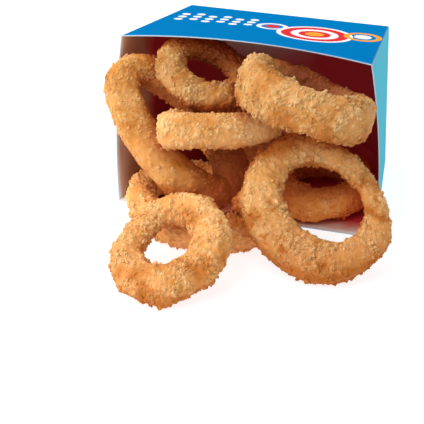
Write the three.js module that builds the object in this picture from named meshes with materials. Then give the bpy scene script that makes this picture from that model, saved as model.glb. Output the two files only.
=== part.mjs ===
// A side of battered onion rings spilling out of a paperboard carton that lies on one of its wide walls.
//
// The carton is an open box folded from one sheet of board. Its mouth faces -Y and its walls taper towards
// the closed end at +Y. Nine fried rings fill it and tumble out onto the table in front of the mouth.
// Each ring is an oval hoop of onion in a thick, craggy crust.
//
// Millimetres, +Z up. The origin is the middle of the carton wall that rests on the table.
import * as THREE from "three";

// ---- The carton -------------------------------------------------------------------------------------

const BOARD = 0.6; // thickness of the board
const MOUTH_WIDTH = 130; // across the upper edge of the mouth
const MOUTH_HEIGHT = 91.5;
const DEPTH = 88.5; // from the mouth to the closed end, along the resting wall
const SIDE_TAPER = 8.4; // how far each side wall comes in over the depth
const HEIGHT_TAPER = 13.2; // how much lower the closed end is than the mouth
const MOUTH_SETBACK = 6.8; // how far the upper edge of a mouth square to the walls lies behind the lower one
const SPLAY_LEFT = 1.7; // how far the food pushes the lower corners of the mouth apart
const SPLAY_RIGHT = 8;
const END_SPLAY_RIGHT = 3.8; // how far the lower right corner of the closed end stands out past the upper one
const BULGE = { bottom: 0, right: 2.8, top: 4.4, left: 2.0 }; // how far each wall bows out at the mouth

const WALL_STEPS = { bottom: 6, right: 6, top: 12, left: 6 };
const DEPTH_STEPS = [0, 0.22, 0.5, 1];

const MOUTH_Y = -DEPTH / 2;

// The four corners of the box's section, in the order bottom left, bottom right, top right, top left.
// along is 0 at the mouth and 1 at the closed end, and inset moves the corners inwards.
function sectionCorners(along, inset) {
  const halfTop = MOUTH_WIDTH / 2 - SIDE_TAPER * along - inset;
  const splay = 1 - along;
  const top = MOUTH_HEIGHT - HEIGHT_TAPER * along - inset;
  const front = MOUTH_Y + DEPTH * along;
  const back = front + MOUTH_SETBACK;
  return {
    bottomLeft: new THREE.Vector3(-halfTop - SPLAY_LEFT * splay, front, inset),
    bottomRight: new THREE.Vector3(halfTop + SPLAY_RIGHT * splay + END_SPLAY_RIGHT * along, front, inset),
    topRight: new THREE.Vector3(halfTop, back, top),
    topLeft: new THREE.Vector3(-halfTop, back, top),
  };
}

// One closed loop of points round the box's section.
function sectionLoop(along, inset) {
  const corner = sectionCorners(along, inset);
  const bow = (1 - along) ** 2;
  const walls = [
    ["bottom", corner.bottomLeft, corner.bottomRight, new THREE.Vector3(0, 0, -1)],
    ["right", corner.bottomRight, corner.topRight, new THREE.Vector3(1, 0, 0)],
    ["top", corner.topRight, corner.topLeft, new THREE.Vector3(0, 0, 1)],
    ["left", corner.topLeft, corner.bottomLeft, new THREE.Vector3(-1, 0, 0)],
  ];
  const loop = [];
  for (const [name, from, to, outwards] of walls) {
    for (let step = 0; step < WALL_STEPS[name]; step++) {
      const t = step / WALL_STEPS[name];
      const point = from.clone().lerp(to, t);
      loop.push(point.addScaledVector(outwards, BULGE[name] * bow * 4 * t * (1 - t)));
    }
  }
  return loop;
}

// A closed skin over a row of loops that all have the same number of points, capped at both ends.
function loft(loops) {
  const count = loops[0].length;
  const points = loops.flat();
  const faces = [];
  for (let row = 0; row < loops.length - 1; row++) {
    for (let i = 0; i < count; i++) {
      const a = row * count + i;
      const b = row * count + ((i + 1) % count);
      faces.push(a, b, b + count, a, b + count, a + count);
    }
  }
  const cap = (first, outwards) => {
    const middle = new THREE.Vector3();
    for (let i = 0; i < count; i++) middle.addScaledVector(points[first + i], 1 / count);
    points.push(middle);
    for (let i = 0; i < count; i++) {
      const here = first + i;
      const next = first + ((i + 1) % count);
      faces.push(...(outwards ? [points.length - 1, next, here] : [points.length - 1, here, next]));
    }
  };
  cap(0, true);
  cap((loops.length - 1) * count, false);
  return meshGeometry(points, faces);
}

function meshGeometry(points, faces) {
  const geometry = new THREE.BufferGeometry();
  geometry.setFromPoints(points);
  geometry.setIndex(faces);
  geometry.computeVertexNormals();
  return geometry;
}

// The outside is skinned from the closed end to the mouth, and the inside from the mouth to the floor.
function cartonGeometry() {
  const floor = 1 - BOARD / DEPTH;
  const outside = [...DEPTH_STEPS].reverse().map((along) => sectionLoop(along, 0));
  const inside = DEPTH_STEPS.map((along) => sectionLoop(along * floor, BOARD));
  return loft([...outside, ...inside]);
}

// ---- The onion rings --------------------------------------------------------------------------------

const STEPS_ROUND = 44; // facets along a ring
const STEPS_ACROSS = 12; // facets round its section
const SECTION_POWER = 2.5; // 2 is an ellipse, and more is nearer a rounded rectangle
const CRAG = 0.75; // how far the crust's lumps stand in and out

// A seeded source of numbers from 0 to 1.
function numbers(seed) {
  let state = seed * 7919 + 17;
  return () => {
    state = (state + 0x6d2b79f5) | 0;
    let t = Math.imul(state ^ (state >>> 15), 1 | state);
    t = (t + Math.imul(t ^ (t >>> 7), 61 | t)) ^ t;
    return ((t ^ (t >>> 14)) >>> 0) / 4294967296;
  };
}

const flatten = (value) => Math.sign(value) * Math.abs(value) ** (2 / SECTION_POWER);

// One ring in its own XY plane. long and short are the outer sizes of the oval, spin turns its long axis,
// thick is the section's size across the ring and tall its size along the ring's axis. uneven thickens one
// side of the ring, at the angle heavy, and thins the other. saddle bends the ring out of its plane.
function ringGeometry({ long, short, thick, tall, spin, uneven, heavy, saddle, seed }) {
  const draw = numbers(seed);
  const turn = THREE.MathUtils.degToRad(spin);
  const heaviest = THREE.MathUtils.degToRad(heavy);
  const waves = [2, 3, 4, 5].map((order) => ({
    order,
    phase: draw() * 2 * Math.PI,
    size: (0.05 * draw()) / Math.sqrt(order - 1),
  }));
  const halfLong = (long - thick) / 2;
  const halfShort = (short - thick) / 2;
  const points = [];
  const faces = [];
  for (let i = 0; i < STEPS_ROUND; i++) {
    const u = (2 * Math.PI * i) / STEPS_ROUND;
    const wave = waves.reduce((sum, w) => sum + w.size * Math.cos(w.order * u + w.phase), 0);
    const swell = 1 + uneven * Math.cos(u + turn - heaviest) + wave;
    const middle = new THREE.Vector3(halfLong * Math.cos(u), halfShort * Math.sin(u), 0);
    middle.z = saddle * Math.cos(2 * u);
    middle.multiplyScalar(1 + wave * 0.5);
    const outwards = new THREE.Vector3(halfShort * Math.cos(u), halfLong * Math.sin(u), 0).normalize();
    for (let j = 0; j < STEPS_ACROSS; j++) {
      const v = (2 * Math.PI * j) / STEPS_ACROSS;
      const lump = CRAG * (2 * draw() - 1);
      const across = flatten(Math.cos(v)) * (thick / 2) * swell + lump * Math.cos(v);
      const along = flatten(Math.sin(v)) * (tall / 2) * swell + lump * Math.sin(v);
      const point = middle.clone().addScaledVector(outwards, across);
      point.z += along;
      points.push(point.applyAxisAngle(new THREE.Vector3(0, 0, 1), turn));
      const next = (i + 1) % STEPS_ROUND;
      const beside = (j + 1) % STEPS_ACROSS;
      const a = i * STEPS_ACROSS + j;
      const b = next * STEPS_ACROSS + j;
      const c = next * STEPS_ACROSS + beside;
      const d = i * STEPS_ACROSS + beside;
      faces.push(a, b, c, a, c, d);
    }
  }
  return meshGeometry(points, faces);
}

// Where each ring lies. lean tips its axis from upright towards the mouth's side, -Y, and heading turns
// that way round towards +X.
const RINGS = {
  ring_front_small: {
    at: [-14.8, -111.1, 16.4], lean: 21.6, heading: -12.4, spin: 98, long: 64.6, short: 59.5,
    thick: 18.2, tall: 13.7, uneven: 0.13, heavy: 337, saddle: 0.8, seed: 1,
  },
  ring_front_large: {
    at: [48.8, -70.3, 28.2], lean: 37.8, heading: 12.9, spin: -48, long: 80.5, short: 69.4,
    thick: 17.4, tall: 13.1, uneven: 0.34, heavy: 221, saddle: 0.8, seed: 2,
  },
  ring_front_flat: {
    at: [-16.8, -53.8, 10.1], lean: 0, heading: 0, spin: -32, long: 87.3, short: 70.4,
    thick: 14.7, tall: 16.8, uneven: 0.07, heavy: 233, saddle: 0, seed: 11,
  },
  ring_inside_right: {
    at: [36.5, -13.6, 11.6], lean: 0.7, heading: 4.8, spin: 0, long: 56.4, short: 63,
    thick: 14.3, tall: 17.3, uneven: 0.06, heavy: 270, saddle: 0.3, seed: 3,
  },
  ring_top_right: {
    at: [37, -57.8, 77], lean: -17.5, heading: -39, spin: 20.3, long: 72, short: 48,
    thick: 13, tall: 23.5, uneven: 0.1, heavy: 225, saddle: 0.5, seed: 4,
  },
  ring_top_left: {
    at: [-20.1, -35.1, 76], lean: 25.3, heading: 52.9, spin: -64, long: 54.7, short: 49.5,
    thick: 15.5, tall: 11.9, uneven: 0.11, heavy: 227, saddle: 0.5, seed: 5,
  },
  ring_left_leaning: {
    at: [-31.4, -49.3, 47], lean: 49.2, heading: 50.5, spin: -69, long: 96, short: 54.5,
    thick: 18.6, tall: 16.6, uneven: 0.12, heavy: 245, saddle: 0, seed: 6,
  },
  ring_middle: {
    at: [-4.7, -55.3, 56], lean: -19, heading: 22, spin: 10, long: 66, short: 34,
    thick: 12.8, tall: 17, uneven: 0.14, heavy: 192, saddle: 0.5, seed: 7,
  },
  ring_inside_middle: {
    at: [-8.3, -3.6, 34.5], lean: 22.4, heading: 24.9, spin: -26, long: 61.9, short: 54.8,
    thick: 13.6, tall: 14.9, uneven: 0.06, heavy: 250, saddle: 0.5, seed: 9,
  },
};

// ---- Materials and assembly -------------------------------------------------------------------------

const BOARD_BLUE = new THREE.MeshStandardMaterial({ color: 0x0a78c8, roughness: 0.5, metalness: 0 });
const CRUST = new THREE.MeshStandardMaterial({ color: 0xdc9a55, roughness: 0.75, metalness: 0 });

const onionRings = new THREE.Group();

const carton = new THREE.Mesh(cartonGeometry(), BOARD_BLUE);
carton.name = "carton";
onionRings.add(carton);

for (const [name, spec] of Object.entries(RINGS)) {
  const ring = new THREE.Mesh(ringGeometry(spec), CRUST);
  ring.name = name;
  ring.position.set(...spec.at);
  ring.rotation.order = "ZXY";
  ring.rotation.set(THREE.MathUtils.degToRad(spec.lean), 0, THREE.MathUtils.degToRad(spec.heading));
  onionRings.add(ring);
}

export default onionRings;
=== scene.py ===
import math

import bpy
import numpy as np
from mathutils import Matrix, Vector
from mathutils.bvhtree import BVHTree


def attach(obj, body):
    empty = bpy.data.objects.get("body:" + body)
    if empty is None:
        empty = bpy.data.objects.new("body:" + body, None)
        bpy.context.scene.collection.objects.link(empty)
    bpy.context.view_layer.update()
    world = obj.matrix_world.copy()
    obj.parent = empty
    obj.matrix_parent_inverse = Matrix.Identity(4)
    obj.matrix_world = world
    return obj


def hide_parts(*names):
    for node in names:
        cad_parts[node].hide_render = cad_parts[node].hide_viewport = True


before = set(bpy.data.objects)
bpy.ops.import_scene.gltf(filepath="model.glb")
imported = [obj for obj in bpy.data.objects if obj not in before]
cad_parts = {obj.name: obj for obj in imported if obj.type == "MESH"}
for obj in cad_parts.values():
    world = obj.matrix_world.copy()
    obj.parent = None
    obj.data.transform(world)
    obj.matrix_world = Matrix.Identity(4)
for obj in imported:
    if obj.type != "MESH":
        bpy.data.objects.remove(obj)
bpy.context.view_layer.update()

MM = 0.001


# ---- Helpers for objects and materials ---------------------------------------------------------------


def put(name, data):
    """A new object in the scene, at the origin."""
    obj = bpy.data.objects.new(name, data)
    bpy.context.scene.collection.objects.link(obj)
    return obj


def note(mesh, label, values):
    """Stores a number for every vertex, which the materials read."""
    mesh.attributes.new(label, "FLOAT", "POINT").data.foreach_set("value", values)


def new_material(name, **settings):
    """A material, its node tree and its shader, with constant numbers set on the shader's own sockets."""
    material = bpy.data.materials.new(name)
    material.use_nodes = True
    surface = material.node_tree.nodes["Principled BSDF"]
    for label, value in settings.items():
        surface.inputs[label.replace("_", " ")].default_value = value
    return material, material.node_tree, surface


def dress(tree, surface, look, bump_height, bump_strength):
    """Leads the colour, the roughness and the fine relief of a look to the shader."""
    tree.links.new(look.outputs["Color"], surface.inputs["Base Color"])
    tree.links.new(look.outputs["Roughness"], surface.inputs["Roughness"])
    bump = add(
        tree, "ShaderNodeBump", Height=look.outputs["Relief"], Distance=bump_height, Strength=bump_strength
    )
    tree.links.new(bump.outputs[0], surface.inputs["Normal"])


# ---- Helpers for node trees --------------------------------------------------------------------------

CELL_SMOOTHNESS = 0.08  # how softly grains run into each other
HALF = (0.5, 0.5, 0.5)  # the middle of a noise's colour

LOOK_OUTPUTS = [("Color", "NodeSocketColor"), ("Roughness", "NodeSocketFloat"), ("Relief", "NodeSocketFloat")]


def add(tree, kind, settings=None, **inputs):
    """A node with its settings and its inputs, each a value or a socket to link from."""
    made = tree.nodes.new(kind)
    for name, value in (settings or {}).items():
        setattr(made, name, value)
    for name, value in inputs.items():
        plug(tree, made.inputs[name.replace("_", " ")], value)
    return made


def plug(tree, socket, value):
    if isinstance(value, bpy.types.NodeSocket):
        tree.links.new(value, socket)
    else:
        socket.default_value = value


def maths(tree, operation, a, b, clamp=False):
    made = add(tree, "ShaderNodeMath", {"operation": operation, "use_clamp": clamp})
    plug(tree, made.inputs[0], a)
    plug(tree, made.inputs[1], b)
    return made.outputs[0]


def vector_maths(tree, operation, a, b=None, scale=None):
    made = add(tree, "ShaderNodeVectorMath", {"operation": operation})
    plug(tree, made.inputs[0], a)
    if b is not None:
        plug(tree, made.inputs[1], b)
    if scale is not None:
        plug(tree, made.inputs["Scale"], scale)
    return made.outputs["Value" if operation in ("LENGTH", "DOT_PRODUCT") else "Vector"]


def remap(tree, value, low, high, to_low=0.0, to_high=1.0, smooth=False):
    """Takes low to to_low and high to to_high, and holds still beyond both."""
    easing = "SMOOTHSTEP" if smooth else "LINEAR"
    made = add(
        tree,
        "ShaderNodeMapRange",
        {"clamp": True, "interpolation_type": easing},
        Value=value,
        From_Min=low,
        From_Max=high,
        To_Min=to_low,
        To_Max=to_high,
    )
    return made.outputs["Result"]


def mix_colour(tree, factor, a, b):
    made = add(tree, "ShaderNodeMix", {"data_type": "RGBA", "blend_type": "MIX"})
    plug(tree, made.inputs["Factor"], factor)
    plug(tree, made.inputs["A"], a)
    plug(tree, made.inputs["B"], b)
    return next(out for out in made.outputs if out.name == "Result" and out.type == "RGBA")


def noise(tree, place, size, seed, detail=2.0, roughness=0.5):
    """Noise whose blobs are about size metres wide."""
    made = add(
        tree,
        "ShaderNodeTexNoise",
        {"noise_dimensions": "4D"},
        Vector=place,
        W=seed,
        Scale=1 / size,
        Detail=detail,
        Roughness=roughness,
    )
    return made.outputs[0]


def cells(tree, place, size, seed):
    """Rounded grains about size metres wide: how near a grain's middle is, and a number for each grain."""
    made = add(
        tree,
        "ShaderNodeTexVoronoi",
        {"voronoi_dimensions": "4D", "feature": "SMOOTH_F1"},
        Vector=place,
        W=seed,
        Scale=maths(tree, "DIVIDE", 1.0, size),
        Smoothness=CELL_SMOOTHNESS,
    )
    return made.outputs["Distance"], split(tree, made.outputs["Color"])[0]


def split(tree, vector):
    return add(tree, "ShaderNodeSeparateXYZ", Vector=vector).outputs[:3]


def object_place(tree):
    return add(tree, "ShaderNodeTexCoord").outputs["Object"]


def attribute(tree, label):
    return add(tree, "ShaderNodeAttribute", {"attribute_name": label}).outputs["Fac"]


def new_group(name, kind, inputs, outputs):
    group = bpy.data.node_groups.new(name, kind)
    for label, sort, value in inputs:
        socket = group.interface.new_socket(name=label, in_out="INPUT", socket_type=sort)
        if value is not None:
            socket.default_value = value
    for label, sort in outputs:
        group.interface.new_socket(name=label, in_out="OUTPUT", socket_type=sort)
    return group, group.nodes.new("NodeGroupInput").outputs, group.nodes.new("NodeGroupOutput").inputs


# ---- How sheltered a place is ------------------------------------------------------------------------

SHELTER_RAYS = 40
SHELTER_REACH = 0.09  # how far off a solid still hides the sky
SHELTER_LIFT = 0.0008  # how far off the surface a ray starts


def solid_tree():
    """All solids of the part as one search tree."""
    points, faces = [], []
    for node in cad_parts.values():
        first = len(points)
        points += [node.matrix_world @ vertex.co for vertex in node.data.vertices]
        faces += [[first + k for k in polygon.vertices] for polygon in node.data.polygons]
    return BVHTree.FromPolygons(points, faces)


def spread_of_directions(count):
    """Even directions over the half of a sphere round +Z, more of them near its top."""
    golden_angle = math.pi * (3 - math.sqrt(5))
    made = []
    for k in range(count):
        out = math.sqrt((k + 0.5) / count)
        turn = k * golden_angle
        made.append(Vector((out * math.cos(turn), out * math.sin(turn), math.sqrt(1 - out * out))))
    return made


SOLIDS = solid_tree()
DIRECTIONS = spread_of_directions(SHELTER_RAYS)


def note_shelter(mesh):
    """Notes on every vertex how much of the sky the solids hide from it, and how far it faces down."""
    shelter, underside = [], []
    for vertex in mesh.vertices:
        normal = vertex.normal
        turn = normal.to_track_quat("Z", "Y")
        start = vertex.co + normal * SHELTER_LIFT
        hits = (SOLIDS.ray_cast(start, turn @ d, SHELTER_REACH)[0] for d in DIRECTIONS)
        shelter.append(sum(1 for hit in hits if hit is not None) / len(DIRECTIONS))
        underside.append(max(0.0, -normal.z))
    note(mesh, "shelter", shelter)
    note(mesh, "underside", underside)


# ---- The crumb crust: its shape ----------------------------------------------------------------------

WELD_DISTANCE = 0.00001
SUBDIVISIONS = 3

WOBBLE_SCALE = 380.0  # how closely the grains' outlines wobble, and how far
WOBBLE_REACH = 0.0034
SWELL_SIZE = 0.010
SWELL_GAIN = 3.0

# Craggy and calm places: how wide they are, and how a noise is taken to a share of the crags' full height.
ROUGH_SIZE = 0.011
ROUGH_RANGE = (0.36, 0.64, 0.4, 1.3)
SMOOTH_SIDE_RANGE = (-0.008, 0.008, 1.0, 0.55)

# How a crag or a grain falls off from its middle, and how much those of one sort differ in height.
CELL_PROFILE = (0.1, 0.8, 1.0, 0.0)
CRAG_HEIGHTS = (0.3, 1.3)
GRAIN_HEIGHTS = (0.2, 1.0)
GRAIN_SEED_STEP = 7.3
GRAIN_BY_ROUGHNESS, GRAIN_ANYWAY = 0.6, 0.3

CRAG_SINK = 0.30  # the share of their height by which crags are sunk into the solid
LUMP_BY_CRAG, LUMP_ANYWAY = 0.5, 0.6
CRAG_SHARE, GRAIN_SHARE = 0.62, 0.38  # of the height that the colours go by

# Loose crumbs: jagged balls that gather in craggy places, each with a turn, a shape and a size of its own.
# Few are large.
JAG_SCALE, JAG_REACH = 1.7, 0.55
CRUMB_SEED_FACTOR = 13.0
CLUSTERING = 2.0
CRUMB_SHAPES = ((0.6, 0.5, 0.4), (1.35, 1.1, 0.8))
CRUMB_RARITY, CRUMB_GROWTH, CRUMB_SMALLEST = 9.0, 1.6, 0.8
CRUMB_TONES = (0.4, 0.9)
TURN_SALT, SHAPE_SALT, SIZE_SALT, TONE_SALT = 1.0, 2.0, 3.0, 4.0


def crumb_crust_tree():
    """Turns a ring's solid into a crumbed one: swells, crags, grains, and loose crumbs stuck on top."""
    tree, given, result = new_group(
        "crumb crust",
        "GeometryNodeTree",
        [
            ("Geometry", "NodeSocketGeometry", None),
            ("Seed", "NodeSocketFloat", 0.0),
            ("Swell Height", "NodeSocketFloat", 0.0006),
            ("Crag Size", "NodeSocketFloat", 0.0023),
            ("Crag Height", "NodeSocketFloat", 0.0010),
            ("Grain Size", "NodeSocketFloat", 0.0012),
            ("Grain Height", "NodeSocketFloat", 0.00055),
            ("Crumb Size", "NodeSocketFloat", 0.00060),
            ("Crumbs Per Area", "NodeSocketFloat", 160000.0),
            ("Smooth Side", "NodeSocketVector", (0.0, 0.0, 0.0)),
            ("Smooth From", "NodeSocketFloat", 1.0),
            ("Lump Place", "NodeSocketVector", (0.0, 0.0, -1.0)),
            ("Lump Reach", "NodeSocketFloat", 0.008),
            ("Lump Height", "NodeSocketFloat", 0.0),
            ("Crust", "NodeSocketMaterial", None),
        ],
        [("Geometry", "NodeSocketGeometry")],
    )
    seed = given["Seed"]
    merged = add(tree, "GeometryNodeMergeByDistance", Geometry=given["Geometry"], Distance=WELD_DISTANCE)
    fine = add(tree, "GeometryNodeSubdivisionSurface", Mesh=merged.outputs[0], Level=SUBDIVISIONS)
    here = add(tree, "GeometryNodeInputPosition").outputs[0]
    outwards = add(tree, "GeometryNodeInputNormal").outputs[0]

    wobble = add(
        tree,
        "ShaderNodeTexNoise",
        {"noise_dimensions": "4D"},
        Vector=here,
        W=seed,
        Scale=WOBBLE_SCALE,
        Detail=2.0,
    ).outputs["Color"]
    wobble = vector_maths(tree, "SUBTRACT", wobble, HALF)
    place = vector_maths(tree, "ADD", here, vector_maths(tree, "SCALE", wobble, scale=WOBBLE_REACH))

    swell = maths(tree, "SUBTRACT", noise(tree, here, SWELL_SIZE, seed, detail=1.0), 0.5)
    swell = maths(tree, "MULTIPLY", swell, maths(tree, "MULTIPLY", given["Swell Height"], SWELL_GAIN))
    rough_places = remap(tree, noise(tree, here, ROUGH_SIZE, seed), *ROUGH_RANGE)
    along = vector_maths(tree, "DOT_PRODUCT", here, given["Smooth Side"])
    along = maths(tree, "SUBTRACT", along, given["Smooth From"])
    calm = remap(tree, along, *SMOOTH_SIDE_RANGE, smooth=True)
    rough_places = maths(tree, "MULTIPLY", rough_places, calm)

    def rounded_lumps(size, lump_seed, heights):
        near, each = cells(tree, place, size, lump_seed)
        lumps = remap(tree, near, *CELL_PROFILE)
        return maths(tree, "MULTIPLY", lumps, remap(tree, each, 0.0, 1.0, *heights))

    crag = rounded_lumps(given["Crag Size"], seed, CRAG_HEIGHTS)
    crag = maths(tree, "MULTIPLY", crag, rough_places)
    grain_seed = maths(tree, "ADD", seed, GRAIN_SEED_STEP)
    grain = rounded_lumps(given["Grain Size"], grain_seed, GRAIN_HEIGHTS)
    grainy = maths(tree, "MULTIPLY", rough_places, GRAIN_BY_ROUGHNESS)
    grain = maths(tree, "MULTIPLY", grain, maths(tree, "ADD", grainy, GRAIN_ANYWAY))

    rise = maths(tree, "MULTIPLY", crag, given["Crag Height"])
    rise = maths(tree, "ADD", rise, maths(tree, "MULTIPLY", grain, given["Grain Height"]))
    sunk = maths(tree, "MULTIPLY", given["Crag Height"], CRAG_SINK)
    rise = maths(tree, "ADD", maths(tree, "SUBTRACT", rise, sunk), swell)
    from_lump = vector_maths(tree, "LENGTH", vector_maths(tree, "SUBTRACT", here, given["Lump Place"]))
    lump = remap(tree, from_lump, given["Lump Reach"], 0.0, smooth=True)
    lumpy = maths(tree, "ADD", maths(tree, "MULTIPLY", crag, LUMP_BY_CRAG), LUMP_ANYWAY)
    lump = maths(tree, "MULTIPLY", lump, lumpy)
    rise = maths(tree, "ADD", rise, maths(tree, "MULTIPLY", lump, given["Lump Height"]))
    grain_part = maths(tree, "MULTIPLY", grain, GRAIN_SHARE)
    height = maths(tree, "ADD", maths(tree, "MULTIPLY", crag, CRAG_SHARE), grain_part)

    noted = add(
        tree,
        "GeometryNodeStoreNamedAttribute",
        {"data_type": "FLOAT", "domain": "POINT"},
        Geometry=fine.outputs[0],
        Name="crumb_height",
        Value=height,
    )
    relief = add(
        tree,
        "GeometryNodeSetPosition",
        Geometry=noted.outputs[0],
        Offset=vector_maths(tree, "SCALE", outwards, scale=rise),
    ).outputs[0]
    relief = add(tree, "GeometryNodeSetShadeSmooth", Geometry=relief, Shade_Smooth=True).outputs[0]

    crumb = add(tree, "GeometryNodeMeshIcoSphere", Radius=1.0, Subdivisions=1).outputs[0]
    jag = add(
        tree, "ShaderNodeTexNoise", {"noise_dimensions": "3D"}, Vector=here, Scale=JAG_SCALE
    ).outputs["Color"]
    jag = vector_maths(tree, "SUBTRACT", jag, HALF)
    crumb = add(
        tree,
        "GeometryNodeSetPosition",
        Geometry=crumb,
        Offset=vector_maths(tree, "SCALE", jag, scale=JAG_REACH),
    ).outputs[0]

    crumb_seed = maths(tree, "MULTIPLY", seed, CRUMB_SEED_FACTOR)
    whole_seed = add(tree, "FunctionNodeFloatToInt", Float=crumb_seed).outputs[0]
    clustered = maths(tree, "POWER", rough_places, CLUSTERING)
    spots = add(
        tree,
        "GeometryNodeDistributePointsOnFaces",
        {"distribute_method": "RANDOM"},
        Mesh=relief,
        Density=maths(tree, "MULTIPLY", given["Crumbs Per Area"], clustered),
        Seed=whole_seed,
    )

    def draw(low, high, sort, salt):
        made = add(tree, "FunctionNodeRandomValue", {"data_type": sort})
        chosen = [s for s in made.inputs if s.enabled and s.name in ("Min", "Max")]
        chosen[0].default_value, chosen[1].default_value = low, high
        plug(tree, made.inputs["Seed"], maths(tree, "ADD", whole_seed, salt))
        return next(out for out in made.outputs if out.enabled)

    turn = draw((0.0, 0.0, 0.0), (math.tau,) * 3, "FLOAT_VECTOR", TURN_SALT)
    shape = draw(*CRUMB_SHAPES, "FLOAT_VECTOR", SHAPE_SALT)
    bigger = maths(tree, "POWER", draw(0.0, 1.0, "FLOAT", SIZE_SALT), CRUMB_RARITY)
    bigger = maths(tree, "ADD", maths(tree, "MULTIPLY", bigger, CRUMB_GROWTH), CRUMB_SMALLEST)
    across = maths(tree, "MULTIPLY", bigger, given["Crumb Size"])
    stuck = add(
        tree,
        "GeometryNodeInstanceOnPoints",
        Points=spots.outputs["Points"],
        Instance=crumb,
        Rotation=turn,
        Scale=vector_maths(tree, "SCALE", shape, scale=across),
    ).outputs[0]
    stuck = add(
        tree,
        "GeometryNodeStoreNamedAttribute",
        {"data_type": "FLOAT", "domain": "INSTANCE"},
        Geometry=stuck,
        Name="crumb_height",
        Value=draw(*CRUMB_TONES, "FLOAT", TONE_SALT),
    ).outputs[0]

    both = add(tree, "GeometryNodeJoinGeometry")
    tree.links.new(stuck, both.inputs[0])
    tree.links.new(relief, both.inputs[0])
    real = add(tree, "GeometryNodeRealizeInstances", Geometry=both.outputs[0])
    done = add(tree, "GeometryNodeSetMaterial", Geometry=real.outputs[0], Material=given["Crust"])
    tree.links.new(done.outputs[0], result["Geometry"])
    return tree


def set_inputs(modifier, values):
    """Sets a Geometry Nodes modifier's inputs by their sockets' identifiers."""
    sockets = {
        item.name: item.identifier
        for item in modifier.node_group.interface.items_tree
        if item.item_type == "SOCKET" and item.in_out == "INPUT"
    }
    for name, value in values.items():
        modifier[sockets[name]] = value


def make_plain(obj):
    """Replaces an object's modifiers by their result."""
    bpy.context.view_layer.update()
    evaluated = obj.evaluated_get(bpy.context.evaluated_depsgraph_get())
    mesh = bpy.data.meshes.new_from_object(evaluated)
    mesh.name = obj.name
    obj.modifiers.clear()
    obj.data = mesh


# ---- The crumb crust: its colour, painted highlights and painted shade -------------------------------

# The crust's colours. The pale one is both the crust's own pale patches and painted highlights on the tips;
# the toasted one both real browning and painted shade; the dips' colour is painted shade and glow; the last
# one is painted red-brown shade.
GOLDEN = (0.69, 0.345, 0.092, 1)
PALE = (0.93, 0.57, 0.25, 1)
TOASTED_AND_SHADED = (0.54, 0.160, 0.020, 1)
DIP_SHADE_AND_GLOW = (0.74, 0.27, 0.040, 1)
SHADE_RED_BROWN = (0.56, 0.118, 0.024, 1)

# How wide the crust's markings are.
PATCH_SIZE = 0.013
BLOT_SIZE = 0.0065
SPECK_SIZE = 0.0022
FINE_SIZE = 0.0006
BLOT_SEED_STEP = 3.1

# How pale the crust is: what each cause adds, and the value at which that cause adds nothing. The height term
# is a painted highlight on the tips of the crags and grains, and on the loose crumbs it is a random tone of
# their own.
# The specks and patches are the crust's own tone.
HIGHLIGHT_BY_HEIGHT, NEUTRAL_HEIGHT = 0.30, 0.45
PALE_BY_SPECKS, NEUTRAL_SPECKS = 1.5, 0.5
PALE_BY_PATCHES, NEUTRAL_PATCHES = 3.0, 0.54
PALE_ANYWAY = 0.30

# From where to where each cause browns the crust, and how strongly. The patches and blots are the crust's own
# browning; the browning of the undersides, of the parts low down and of the sheltered places is painted
# shade.
DIP_SHADE_RANGE = (0.0, 0.45, 0.6, 0.0)  # by the crumbs' height
BROWNED = (0.50, 0.72, 0.0, 1.0)  # by the patches
FRECKLED = (0.56, 0.74, 0.0, 0.9)  # by the blots
UNDERSIDE_SHADE = (0.05, 0.65)  # by how far it faces down
SHELTER_BROWN_SHADE = (0.28, 0.62)  # by how much of the sky is hidden
LOW_SHADE = (0.032, 0.004, 0.0, 0.9)  # by the height above the table
SHELTER_RED_SHADE = (0.42, 0.95)  # by how much of the sky is hidden

# Painted shadow of the carton's top wall on the crust: from how far back and how high it comes in, how much
# nearer the mouth it does so towards the right, and how much it dims the crust.
ROOF_DEPTH = (-0.029, -0.010)
ROOF_HEIGHT = (0.062, 0.078)
ROOF_SLANT = (0.0, 0.030, 0.0, 0.033)
ROOF_SHADOW_DIMMING = 0.5

# Painted shade in the gap between the three rings at the front: its middle, how near it crust darkens, and
# how much.
NOOK = (0.006, -0.060, 0.016)
NOOK_RANGE = (0.034, 0.012)
NOOK_SHADE_DIMMING = 0.25

CRUST_ROUGHNESS = (0.3, 0.7, 0.50, 0.75)
CRUST_BUMPS = (0.0002, 0.3)


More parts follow.
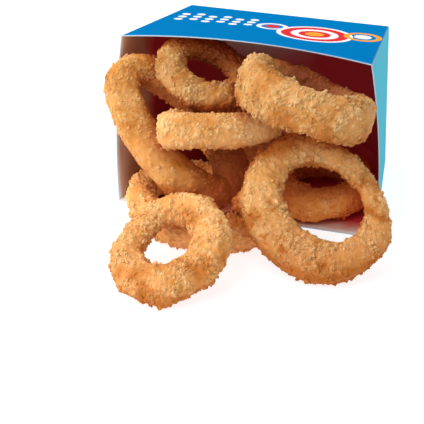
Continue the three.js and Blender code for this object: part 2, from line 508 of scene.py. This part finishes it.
def crust_colour_group():
    """Fried crumbs: pale patches, painted highlights on the tips, golden between, painted shade and glow in
    the dips, real browned patches, and painted brown and red-brown shade underneath, low down, in shelter,
    under the carton's top and in the nook between the front rings.
    """
    tree, given, result = new_group(
        "fried crumb colour",
        "ShaderNodeTree",
        [
            ("Height", "NodeSocketFloat", 0.5),
            ("Seed", "NodeSocketFloat", 0.0),
            ("Golden", "NodeSocketColor", GOLDEN),
            ("Pale", "NodeSocketColor", PALE),
            ("Toasted And Shaded", "NodeSocketColor", TOASTED_AND_SHADED),
            ("Dip Shade And Glow", "NodeSocketColor", DIP_SHADE_AND_GLOW),
            ("Shade Red Brown", "NodeSocketColor", SHADE_RED_BROWN),
            ("Toasting", "NodeSocketFloat", 0.35),
            ("Paleness", "NodeSocketFloat", 0.0),
            ("Soaking", "NodeSocketFloat", 0.9),
            ("Nook", "NodeSocketFloat", 0.0),
            ("Tone", "NodeSocketFloat", 1.0),
            ("Shelter", "NodeSocketFloat", 0.0),
            ("Underside", "NodeSocketFloat", 0.0),
        ],
        LOOK_OUTPUTS,
    )
    here = object_place(tree)
    across, depth, up = split(tree, here)
    seed = given["Seed"]
    patches = noise(tree, here, PATCH_SIZE, seed)
    blots = noise(tree, here, BLOT_SIZE, maths(tree, "ADD", seed, BLOT_SEED_STEP), roughness=0.6)
    specks = noise(tree, here, SPECK_SIZE, seed, detail=3.0, roughness=0.6)
    fine = noise(tree, here, FINE_SIZE, seed)

    # Painted highlight: the higher a place of the relief stands, the paler its colour.
    tips = maths(tree, "SUBTRACT", given["Height"], NEUTRAL_HEIGHT)
    pale = maths(tree, "MULTIPLY", tips, HIGHLIGHT_BY_HEIGHT)
    speckled = maths(tree, "SUBTRACT", specks, NEUTRAL_SPECKS)
    pale = maths(tree, "ADD", pale, maths(tree, "MULTIPLY", speckled, PALE_BY_SPECKS))
    patchy = maths(tree, "SUBTRACT", NEUTRAL_PATCHES, patches)
    pale = maths(tree, "ADD", pale, maths(tree, "MULTIPLY", patchy, PALE_BY_PATCHES))
    pale = maths(tree, "ADD", maths(tree, "ADD", pale, PALE_ANYWAY), given["Paleness"], clamp=True)
    colour = mix_colour(tree, pale, given["Golden"], given["Pale"])

    # Painted shade and glow: the low places between the crags take a deeper, brighter orange, standing in for
    # shade and for light passing through the crust.
    colour = mix_colour(tree, remap(tree, given["Height"], *DIP_SHADE_RANGE), colour, given["Dip Shade And Glow"])
    browned = remap(tree, patches, *BROWNED, smooth=True)
    freckles = remap(tree, blots, *FRECKLED, smooth=True)
    # Painted shade: browner on the undersides and on the parts low down near the table.
    under = remap(tree, given["Underside"], *UNDERSIDE_SHADE)
    low = remap(tree, up, *LOW_SHADE)
    toast_and_shade = maths(tree, "ADD", maths(tree, "ADD", browned, freckles), maths(tree, "ADD", under, low))
    # Painted shade: browner where the solids hide the sky.
    toast_and_shade = maths(tree, "ADD", toast_and_shade, remap(tree, given["Shelter"], *SHELTER_BROWN_SHADE))
    toast_and_shade = maths(tree, "MULTIPLY", toast_and_shade, given["Toasting"], clamp=True)
    colour = mix_colour(tree, toast_and_shade, colour, given["Toasted And Shaded"])

    # Painted shade: red-brown where the solids hide much of the sky.
    painted_shade = maths(tree, "MULTIPLY", remap(tree, given["Shelter"], *SHELTER_RED_SHADE), given["Soaking"])
    # Painted shadow of the carton's top wall: further back and high up the crust turns red-brown and dims,
    # sooner towards the right.
    depth = maths(tree, "ADD", depth, remap(tree, across, *ROOF_SLANT))
    roof_shadow = maths(tree, "MULTIPLY", remap(tree, depth, *ROOF_DEPTH), remap(tree, up, *ROOF_HEIGHT))
    # Painted shade in the nook between the three front rings, as strong as each ring's share of it.
    nook = vector_maths(tree, "LENGTH", vector_maths(tree, "SUBTRACT", here, NOOK))
    nook = maths(tree, "MULTIPLY", remap(tree, nook, *NOOK_RANGE), given["Nook"])
    painted_shade = maths(tree, "ADD", maths(tree, "ADD", painted_shade, roof_shadow), nook, clamp=True)
    colour = mix_colour(tree, painted_shade, colour, given["Shade Red Brown"])

    # The painted shadow and shade also dim the colour, and each ring's tone, partly painted light and shade,
    # scales it.
    nook_shade_dimming = maths(tree, "MULTIPLY", nook, NOOK_SHADE_DIMMING)
    dimming = maths(tree, "ADD", maths(tree, "MULTIPLY", roof_shadow, ROOF_SHADOW_DIMMING), nook_shade_dimming)
    light = maths(tree, "MULTIPLY", given["Tone"], maths(tree, "SUBTRACT", 1.0, dimming))
    tree.links.new(vector_maths(tree, "SCALE", colour, scale=light), result["Color"])
    tree.links.new(remap(tree, fine, *CRUST_ROUGHNESS), result["Roughness"])
    tree.links.new(fine, result["Relief"])
    return tree


CRUST_COLOUR = crust_colour_group()
CRUMB_CRUST = crumb_crust_tree()


def crust_material(name, **look):
    material, tree, surface = new_material(
        name,
        Specular_IOR_Level=0.15,
        Subsurface_Weight=0.45,
        Subsurface_Radius=(0.0010, 0.0009, 0.0008),
        Subsurface_Scale=1.0,
    )
    colour = add(
        tree,
        "ShaderNodeGroup",
        {"node_tree": CRUST_COLOUR},
        Height=attribute(tree, "crumb_height"),
        Shelter=attribute(tree, "shelter"),
        Underside=attribute(tree, "underside"),
        **look,
    )
    dress(tree, surface, colour, *CRUST_BUMPS)
    return material


# ---- The carton's sizes, as in the part's source -----------------------------------------------------

BOARD = 0.6 * MM
MOUTH_WIDTH = 130 * MM
MOUTH_HEIGHT = 91.5 * MM
DEPTH = 88.5 * MM
SIDE_TAPER = 8.4 * MM
HEIGHT_TAPER = 13.2 * MM
MOUTH_SETBACK = 6.8 * MM
SPLAY_LEFT = 1.7 * MM
SPLAY_RIGHT = 8.0 * MM
END_SPLAY_RIGHT = 3.8 * MM
BULGE = {"bottom": 0.0, "right": 2.8 * MM, "top": 4.4 * MM, "left": 2.0 * MM}


def bulge(wall, bow, t):
    """How far a wall bows out at t of its width."""
    return BULGE[wall] * bow * 4 * t * (1 - t)


# ---- The rings ---------------------------------------------------------------------------------------

# How each ring differs: seed, crag height in mm, crumbs per square centimetre, how toasted it is together
# with its painted shade underneath, low down and in shelter, how pale it is, how strongly painted red-brown
# shade darkens its sheltered places, and how bright its colours are.
# The brightness is partly each ring's own frying and partly painted light and shade for how lit the ring is
# where it sits in the pile.
RING_LOOKS = {
    "ring_front_small": (1.0, 1.50, 44, 0.55, 0.35, 0.9, 0.94),
    "ring_front_large": (2.0, 1.40, 40, 0.95, 0.20, 0.9, 0.79),
    "ring_front_flat": (3.0, 2.00, 40, 0.35, 0.35, 0.1, 1.07),
    "ring_inside_right": (4.0, 1.00, 26, 0.45, 0.00, 0.9, 1.12),
    "ring_top_right": (5.0, 1.60, 46, 0.55, 0.15, 0.9, 0.70),
    "ring_top_left": (6.0, 1.60, 46, 0.70, 0.10, 0.9, 0.67),
    "ring_left_leaning": (7.0, 1.30, 40, 0.60, 0.00, 0.7, 0.89),
    "ring_middle": (8.0, 1.00, 26, 0.30, 0.35, 0.9, 0.86),
    "ring_inside_middle": (9.0, 1.60, 34, 0.50, 0.00, 0.4, 1.45),
}

# How strongly the painted shade of the nook darkens a ring that reaches into it.
IN_NOOK = {"ring_left_leaning": 0.75, "ring_front_flat": 0.4}

# Clumps of batter and crumbs that stand out of a ring: the middle, the reach and the height in mm.
LUMPS = {
    "ring_front_small": ((-8.0, -139.5, 3.0), 8.0, 3.0),
    "ring_front_large": ((10.8, -77.0, 26.5), 8.5, 5.0),
    "ring_front_flat": ((5.0, -76.0, 17.0), 11.0, 3.6),
}
NO_LUMP = ((0.0, 0.0, -1000.0), 8.0, 0.0)

# Where a ring's crust is smooth batter: the side it faces, and how far along that direction it starts in mm.
SMOOTH_SIDES = {"ring_left_leaning": ((0.0, -0.81, -0.59), 21.0)}
NO_SMOOTH_SIDE = ((0.0, 0.0, 0.0), 1000.0)

PER_CM2 = 1e4
CLEARANCE = 0.05 * MM  # between the crumbs and the board


def keep_clear_of_board(mesh):
    """Presses the crumbs that would go through the carton's walls, or into the table, back inside."""
    flat = np.empty(len(mesh.vertices) * 3, dtype=np.float32)
    mesh.vertices.foreach_get("co", flat)
    x, y, z = flat.reshape(-1, 3).T
    along = (y + DEPTH / 2 - MOUTH_SETBACK * np.clip(z / MOUTH_HEIGHT, 0, 1)) / DEPTH
    inside = along > 0
    along = np.clip(along, 0, 1)
    bow = (1 - along) ** 2
    half_top = MOUTH_WIDTH / 2 - SIDE_TAPER * along - BOARD
    t = np.clip((x + half_top) / (2 * half_top), 0, 1)
    ceiling = MOUTH_HEIGHT - HEIGHT_TAPER * along - BOARD + bulge("top", bow, t)
    t = np.clip(z / ceiling, 0, 1)
    splay_right = SPLAY_RIGHT * (1 - along) + END_SPLAY_RIGHT * along
    right = half_top + splay_right * (1 - t) + bulge("right", bow, t)
    left = half_top + SPLAY_LEFT * (1 - along) * (1 - t) + bulge("left", bow, t)
    x[:] = np.where(inside, np.clip(x, CLEARANCE - left, right - CLEARANCE), x)
    z[:] = np.where(inside, np.clip(z, BOARD + CLEARANCE, ceiling - CLEARANCE), np.maximum(z, 0))
    mesh.vertices.foreach_set("co", flat)
    mesh.update()


def crumbed_ring(node_name):
    seed, crag_height, crumbs_per_cm2, toasting_and_shade, paleness, shelter_shade, tone = RING_LOOKS[node_name]
    smooth_side, smooth_from = SMOOTH_SIDES.get(node_name, NO_SMOOTH_SIDE)
    lump_place, lump_reach, lump_height = LUMPS.get(node_name, NO_LUMP)
    piece = put("crumbed_" + node_name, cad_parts[node_name].data.copy())
    piece.data.materials.clear()
    note_shelter(piece.data)
    crust = crust_material(
        "fried crust of " + node_name,
        Seed=seed,
        Toasting=toasting_and_shade,
        Paleness=paleness,
        Soaking=shelter_shade,
        Tone=tone,
        Nook=IN_NOOK.get(node_name, 0.0),
    )
    modifier = piece.modifiers.new("crumb crust", "NODES")
    modifier.node_group = CRUMB_CRUST
    set_inputs(
        modifier,
        {
            "Seed": seed,
            "Crag Height": crag_height * MM,
            "Crumbs Per Area": crumbs_per_cm2 * PER_CM2,
            "Smooth Side": smooth_side,
            "Smooth From": smooth_from * MM,
            "Lump Place": [v * MM for v in lump_place],
            "Lump Reach": lump_reach * MM,
            "Lump Height": lump_height * MM,
            "Crust": crust,
        },
    )
    make_plain(piece)
    keep_clear_of_board(piece.data)
    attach(piece, "root")
    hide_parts(node_name)


for solid in sorted(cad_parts):
    if solid.startswith("ring_"):
        crumbed_ring(solid)


# ---- The carton: its shape ---------------------------------------------------------------------------

WALLS = {
    "bottom": Vector((0, 0, -1)),
    "right": Vector((1, 0, 0)),
    "top": Vector((0, 0, 1)),
    "left": Vector((-1, 0, 0)),
}
FOLD_RADIUS = 0.9 * MM
WALL_STEPS = 20
DEPTH_STEPS = 26
FOLD_STEPS = 6

# The rounded edge of the closed end: how long it is, and for each row its share of that length and its inset.
END_ROUNDING = 0.5 * MM
END_ROWS = ((0.0, 0.5 * MM), (0.35, 0.12 * MM), (1.0, 0.0))

# The carton's material slots.
WIDE_OUTSIDE, SIDE_OUTSIDE, INSIDE, EDGE = range(4)
OUTER_SLOTS = {"bottom": WIDE_OUTSIDE, "top": WIDE_OUTSIDE, "left": SIDE_OUTSIDE, "right": SIDE_OUTSIDE}


def carton_corners(along, inset):
    """The corners of the box's section, in the order bottom left, bottom right, top right, top left."""
    half_top = MOUTH_WIDTH / 2 - SIDE_TAPER * along - inset
    splay = 1 - along
    top = MOUTH_HEIGHT - HEIGHT_TAPER * along - inset
    front = -DEPTH / 2 + DEPTH * along
    back = front + MOUTH_SETBACK
    return [
        Vector((-half_top - SPLAY_LEFT * splay, front, inset)),
        Vector((half_top + SPLAY_RIGHT * splay + END_SPLAY_RIGHT * along, front, inset)),
        Vector((half_top, back, top)),
        Vector((-half_top, back, top)),
    ]


def carton_loop(along, inset, radius):
    """Points round the box's section with rounded folds: (place, wall, how near the middle of a fold)."""
    corners = carton_corners(along, inset)
    bow = (1 - along) ** 2
    walls = list(WALLS)

    def on_wall(start, end, t, wall):
        return start.lerp(end, t) + WALLS[wall] * bulge(wall, bow, t)

    loop = []
    for k, wall in enumerate(walls):
        start, corner, following = (corners[(k + step) % 4] for step in range(3))
        next_wall = walls[(k + 1) % 4]
        margin = radius / (corner - start).length
        for step in range(WALL_STEPS + 1):
            t = margin + (1 - 2 * margin) * step / WALL_STEPS
            loop.append((on_wall(start, corner, t, wall), wall, 0.0))
        here = on_wall(start, corner, 1 - margin, wall)
        there = on_wall(corner, following, radius / (following - corner).length, next_wall)
        for step in range(1, FOLD_STEPS):
            t = step / FOLD_STEPS
            bend = here.lerp(corner, t).lerp(corner.lerp(there, t), t)
            loop.append((bend, wall if t < 0.5 else next_wall, 1 - abs(2 * t - 1)))
    return loop


def carton_mesh():
    """The board, skinned from the closed end to the mouth and back along the inside, capped at both ends."""
    floor = 1 - BOARD / DEPTH
    steps = [i / DEPTH_STEPS for i in range(DEPTH_STEPS + 1)]
    end = [carton_loop(1 - END_ROUNDING / DEPTH * share, inset, FOLD_RADIUS) for share, inset in END_ROWS]
    outside = [carton_loop(a, 0, FOLD_RADIUS) for a in reversed(steps[:-1])]
    inside = [carton_loop(a * floor, BOARD, FOLD_RADIUS / 2) for a in steps]
    rows = end + outside + inside
    count = len(rows[0])
    points = [place for row in rows for place, _, _ in row]
    wear = [near for row in rows for _, _, near in row]
    mouth_row = len(end) + len(outside) - 1
    faces, slots = [], []
    for r in range(len(rows) - 1):
        for i in range(count):
            j = (i + 1) % count
            faces.append((r * count + i, r * count + j, (r + 1) * count + j, (r + 1) * count + i))
            if r < mouth_row:
                slots.append(OUTER_SLOTS[rows[r][i][1]])
            else:
                slots.append(EDGE if r == mouth_row else INSIDE)
    for r, turned, slot in ((0, True, WIDE_OUTSIDE), (len(rows) - 1, False, INSIDE)):
        points.append(sum((points[r * count + i] for i in range(count)), Vector()) / count)
        wear.append(0.0)
        middle = len(points) - 1
        for i in range(count):
            here, following = r * count + i, r * count + (i + 1) % count
            faces.append((middle, following, here) if turned else (middle, here, following))
            slots.append(slot)
    mesh = bpy.data.meshes.new("folded_carton")
    mesh.from_pydata(points, [], faces)
    note(mesh, "fold_wear", wear)
    for polygon, slot in zip(mesh.polygons, slots):
        polygon.material_index = slot
        polygon.use_smooth = True
    mesh.validate()
    return mesh


# The end flap: its outline in shares of the end wall's width and height, and how far off that wall its two
# faces lie.
FLAP_OUTLINE = [(0.02, 0.012), (0.98, 0.012), (0.965, 0.50), (0.90, 0.60), (0.10, 0.60), (0.035, 0.50)]
FLAP_FACES = (0.03 * MM, 0.45 * MM)


def end_flap():
    """The flap that closes the end: a slab of board with clipped corners, glued flat on the end wall."""
    low_left, low_right, high_right, high_left = carton_corners(1.0, 0.0)
    outwards = (high_left - low_left).cross(low_right - low_left).normalized()
    points = []
    for away in FLAP_FACES:
        for u, v in FLAP_OUTLINE:
            place = low_left.lerp(low_right, u).lerp(high_left.lerp(high_right, u), v)
            points.append(place + outwards * away)
    count = len(FLAP_OUTLINE)
    flat_faces = [tuple(range(count)), tuple(reversed(range(count, 2 * count)))]
    rim = [(count + i, count + (i + 1) % count, (i + 1) % count, i) for i in range(count)]
    mesh = bpy.data.meshes.new("end_flap")
    mesh.from_pydata(points, [], flat_faces + rim)
    for polygon in mesh.polygons:
        polygon.material_index = 0 if polygon.index < len(flat_faces) else 1
    mesh.validate()
    return mesh


# ---- The carton: its print and its stains ------------------------------------------------------------

BLUE = (0.0, 0.185, 0.475, 1)
CYAN = (0.12, 0.53, 0.68, 1)
BARE_BOARD = (0.80, 0.78, 0.75, 1)
EDGE_BLUE = (0.50, 0.58, 0.66, 1)
WHITE_INK = (0.86, 0.87, 0.88, 1)
RED_INK = (0.72, 0.035, 0.045, 1)
ORANGE_INK = (0.90, 0.36, 0.04, 1)

# The print on the top wall: middle x and y, radius and line width in mm, and the ink. A line as wide as the
# radius is a full disc.
HOOPS = [
    (25, 9, 20.0, 20.0, RED_INK),
    (25, 9, 20.0, 2.4, WHITE_INK),
    (25, 9, 12.5, 4.0, WHITE_INK),
    (25, 9, 5.0, 5.0, ORANGE_INK),
    (49, 17, 10.0, 3.0, ORANGE_INK),
    (49, 17, 4.6, 4.6, WHITE_INK),
    (0, 17, 8.5, 2.6, WHITE_INK),
    (0, 17, 3.8, 3.8, RED_INK),
]

# The dots, in mm: the middle of the first, how far apart their columns and rows are, how far every second
# column is set back, and their radius.
DOTS_X, DOTS_Y = -51, 26
DOT_COLUMNS, DOT_ROWS = 6, 3
COLUMN_PITCH, ROW_PITCH, COLUMN_STAGGER = 7.6, 7.0, 3.0
DOT_RADIUS = 2.4
DOTS = [
    (
        DOTS_X + COLUMN_PITCH * column,
        DOTS_Y - ROW_PITCH * row + COLUMN_STAGGER * (column % 2),
        DOT_RADIUS,
        DOT_RADIUS,
        WHITE_INK,
    )
    for column in range(DOT_COLUMNS)
    for row in range(DOT_ROWS)
]

PRINT_EDGE = 0.00012  # half the width over which a motif's edge fades
PRINT_FROM = (0.070, 0.071)  # the height from which the print shows

# The board's own markings, and how far a rubbed fold shows the bare board.
FIBRE_SIZE = 0.0008
CLOUD_SIZE = 0.02
CLOUD_TINT = (0.3, 0.7, 0.0, 0.003)
CLOUD_ROUGHNESS = (0.3, 0.7, 0.55, 0.65)
RUB_RANGE = (0.35, 0.6, 0.2, 1.0)
RUBBING, NO_RUBBING = 0.35, 0.0
BOARD_BUMPS = (0.00003, 0.5)

# Painted shade on the inside of the board: its colours, and how wide its blots are and how far they move its
# edges.
TAN_INSIDE_SHADE = (0.80, 0.47, 0.27, 1)
RED_INSIDE_SHADE = (0.72, 0.060, 0.075, 1)
FLOOR_SHADE_COLOUR = (0.30, 0.035, 0.025, 1)
BACK_WALL_SHADE = (0.75, 0.62, 0.58, 1)
SHADE_BLOT_SIZE = 0.02
SHADE_BLOT_REACH = 0.02

# From where to where each colour comes in. The red starts nearer the mouth on the left wall, most so below
# that wall's top.
TAN_DEPTH = (-0.044, -0.030)
RED_FROM = -0.010
RED_FADE = (0.0, 0.012)
LEFT_WALL = (-0.060, -0.050)
LEFT_RED_SOONER = 0.024
LOW_RED_SOONER = (0.080, 0.068, 0.0, 0.008)
BACK_DEPTH = (0.030, 0.040)
BACK_ACROSS = (0.02, -0.01)
BACK_HEIGHT = (0.045, 0.060, 0.0, 0.9)
FLOOR_SHADE_RIGHT = (0.030, 0.012)
FLOOR_SHADE_LEFT = (-0.052, -0.040)
FLOOR_SHADE_HEIGHT = (0.003, 0.001)


def board_group():
    """Coated paperboard: faint fibre mottling, rubbed folds and a soft sheen."""
    tree, given, result = new_group(
        "coated board",
        "ShaderNodeTree",
        [
            ("Ink", "NodeSocketColor", BLUE),
            ("Bare Board", "NodeSocketColor", BARE_BOARD),
            ("Rubbing", "NodeSocketFloat", RUBBING),
            ("Wear", "NodeSocketFloat", 0.0),
        ],
        LOOK_OUTPUTS,
    )
    here = object_place(tree)
    fibres = noise(tree, here, FIBRE_SIZE, seed=1.0, detail=4.0, roughness=0.6)
    clouds = noise(tree, here, CLOUD_SIZE, seed=2.0)
    colour = mix_colour(tree, remap(tree, clouds, *CLOUD_TINT), given["Ink"], given["Bare Board"])
    rubbed = maths(tree, "MULTIPLY", given["Wear"], remap(tree, fibres, *RUB_RANGE))
    rubbed = maths(tree, "MULTIPLY", rubbed, given["Rubbing"])
    tree.links.new(mix_colour(tree, rubbed, colour, given["Bare Board"]), result["Color"])
    tree.links.new(remap(tree, clouds, *CLOUD_ROUGHNESS), result["Roughness"])
    tree.links.new(fibres, result["Relief"])
    return tree


def spot_group():
    """Masks of a disc and of a hoop printed flat on the top wall."""
    tree, given, result = new_group(
        "printed hoop",
        "ShaderNodeTree",
        [
            ("Middle", "NodeSocketVector", (0, 0, 0)),
            ("Radius", "NodeSocketFloat", 0.01),
            ("Line Width", "NodeSocketFloat", 0.002),
        ],
        [("Disc", "NodeSocketFloat"), ("Hoop", "NodeSocketFloat")],
    )
    from_middle = vector_maths(tree, "SUBTRACT", object_place(tree), given["Middle"])
    away = vector_maths(tree, "LENGTH", vector_maths(tree, "MULTIPLY", from_middle, (1, 1, 0)))
    inside = maths(tree, "SUBTRACT", given["Radius"], away)
    disc = remap(tree, inside, -PRINT_EDGE, PRINT_EDGE)
    band = maths(tree, "SUBTRACT", given["Line Width"], inside)
    hoop = maths(tree, "MULTIPLY", disc, remap(tree, band, -PRINT_EDGE, PRINT_EDGE))
    tree.links.new(disc, result["Disc"])
    tree.links.new(hoop, result["Hoop"])
    return tree


BOARD_LOOK = board_group()
HOOP_PRINT = spot_group()


def printed(tree, colour):
    """The hoops, discs and dots on the top wall."""
    on_top = remap(tree, split(tree, object_place(tree))[2], *PRINT_FROM)
    for x, y, radius, width, ink in HOOPS + DOTS:
        spot = add(
            tree,
            "ShaderNodeGroup",
            {"node_tree": HOOP_PRINT},
            Middle=(x * MM, y * MM, 0),
            Radius=radius * MM,
            Line_Width=width * MM,
        )
        mask = spot.outputs["Disc" if width >= radius else "Hoop"]
        colour = mix_colour(tree, maths(tree, "MULTIPLY", mask, on_top), colour, ink)
    return colour


def shaded_inside(tree, colour):
    """The inside of the board with painted shade: clean at the mouth, tan further in, dark red-brown deeper
    in, and a paler pinkish grey high on the left of the back wall.
    """
    here = object_place(tree)
    across, depth, up = split(tree, here)
    blots = maths(tree, "SUBTRACT", noise(tree, here, SHADE_BLOT_SIZE, seed=5.0), 0.5)
    depth = maths(tree, "ADD", depth, maths(tree, "MULTIPLY", blots, SHADE_BLOT_REACH))
    colour = mix_colour(tree, remap(tree, depth, *TAN_DEPTH), colour, TAN_INSIDE_SHADE)
    sooner = maths(tree, "ADD", remap(tree, up, *LOW_RED_SOONER), LEFT_RED_SOONER)
    sooner = maths(tree, "MULTIPLY", remap(tree, across, *LEFT_WALL), sooner)
    beyond = maths(tree, "SUBTRACT", depth, maths(tree, "SUBTRACT", RED_FROM, sooner))
    colour = mix_colour(tree, remap(tree, beyond, *RED_FADE), colour, RED_INSIDE_SHADE)
    back = maths(tree, "MULTIPLY", remap(tree, depth, *BACK_DEPTH), remap(tree, across, *BACK_ACROSS))
    back = maths(tree, "MULTIPLY", back, remap(tree, up, *BACK_HEIGHT))
    return mix_colour(tree, back, colour, BACK_WALL_SHADE)


def shaded_floor(tree, colour):
    """Painted shade: the part of the resting wall that lies under the rings is dark."""
    across, _, up = split(tree, object_place(tree))
    floor_shade_mask = maths(tree, "MULTIPLY", remap(tree, across, *FLOOR_SHADE_RIGHT), remap(tree, across, *FLOOR_SHADE_LEFT))
    floor_shade_mask = maths(tree, "MULTIPLY", floor_shade_mask, remap(tree, up, *FLOOR_SHADE_HEIGHT))
    return mix_colour(tree, floor_shade_mask, colour, FLOOR_SHADE_COLOUR)


def board_material(name, ink, rubbing, *layers):
    """Board in one ink, under layers such as the print and the painted shade."""
    material, tree, surface = new_material(name, Specular_IOR_Level=0.0)
    colour = ink
    for layer in layers:
        colour = layer(tree, colour)
    look = add(
        tree,
        "ShaderNodeGroup",
        {"node_tree": BOARD_LOOK},
        Ink=colour,
        Rubbing=rubbing,
        Wear=attribute(tree, "fold_wear"),
    )
    dress(tree, surface, look, *BOARD_BUMPS)
    return material


def board_piece(name, mesh, looks):
    piece = put(name, mesh)
    for look in looks:
        piece.data.materials.append(look)
    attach(piece, "root")
    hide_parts("carton")


BLUE_BOARD = board_material("blue printed board", BLUE, RUBBING, printed)
LIGHT_BLUE_BOARD = board_material("light blue printed board", CYAN, RUBBING)
BOARD_INSIDE = board_material("inside of the board", BARE_BOARD, NO_RUBBING, shaded_inside, shaded_floor)
# The cut edge takes the same painted shade where it runs under the rings.
CUT_EDGE = board_material("cut edge of the board", EDGE_BLUE, NO_RUBBING, shaded_floor)
board_piece("folded_carton", carton_mesh(), (BLUE_BOARD, LIGHT_BLUE_BOARD, BOARD_INSIDE, CUT_EDGE))
board_piece("end_flap", end_flap(), (BLUE_BOARD, CUT_EDGE))


# ---- Studio ------------------------------------------------------------------------------------------

AIM = Vector((-0.0144, -0.044, 0.001))
EYE = Vector((0.1802, -0.6622, 0.3500))
SENSOR_WIDTH_MM = 36
LENS_MM = 118.9

# Each light: its name, where it comes from, how wide it is in degrees, and its power.
LIGHTS = [("key", (-0.75, -0.60, 1.1), 65, 2.3), ("left", (-1.0, -0.45, 0.3), 50, 0.9)]
SKY_STRENGTH = 0.65
WHITE = (1, 1, 1, 1)

FLOOR_REACH = 4.0
FLOOR_HEIGHT = -0.0002
FLOOR_GREYS = ((0.34, 0.34, 0.34, 1), (0.36, 0.36, 0.36, 1))
FLOOR_CLOUD_SIZE = 0.3


def studio_floor():
    mesh = bpy.data.meshes.new("floor")
    signs = ((-1, -1), (1, -1), (1, 1), (-1, 1))
    mesh.from_pydata([(x * FLOOR_REACH, y * FLOOR_REACH, FLOOR_HEIGHT) for x, y in signs], [], [(0, 1, 2, 3)])
    floor = put("floor", mesh)
    material, tree, surface = new_material(
        "pale floor", Roughness=0.8, Specular_IOR_Level=0.1, Emission_Color=WHITE, Emission_Strength=0.8
    )
    clouds = noise(tree, object_place(tree), FLOOR_CLOUD_SIZE, seed=0.0)
    tree.links.new(mix_colour(tree, clouds, *FLOOR_GREYS), surface.inputs["Base Color"])
    mesh.materials.append(material)


def soft_light(name, comes_from, spread, power):
    light = bpy.data.lights.new(name, "SUN")
    light.angle = math.radians(spread)
    light.energy = power
    obj = put(name, light)
    obj.location = comes_from
    obj.rotation_euler = (-Vector(comes_from)).to_track_quat("-Z", "Y").to_euler()


def studio():
    studio_floor()
    for light in LIGHTS:
        soft_light(*light)
    world = bpy.data.worlds.new("studio")
    world.use_nodes = True
    sky = world.node_tree.nodes["Background"]
    sky.inputs["Color"].default_value = WHITE
    sky.inputs["Strength"].default_value = SKY_STRENGTH
    bpy.context.scene.world = world
    bpy.context.scene.view_settings.view_transform = "Standard"

    lens = bpy.data.cameras.new("camera")
    lens.sensor_width = SENSOR_WIDTH_MM
    lens.lens = LENS_MM
    camera = put("camera", lens)
    camera.location = EYE
    camera.rotation_euler = (AIM - EYE).to_track_quat("-Z", "Y").to_euler()
    bpy.context.scene.camera = camera


studio()
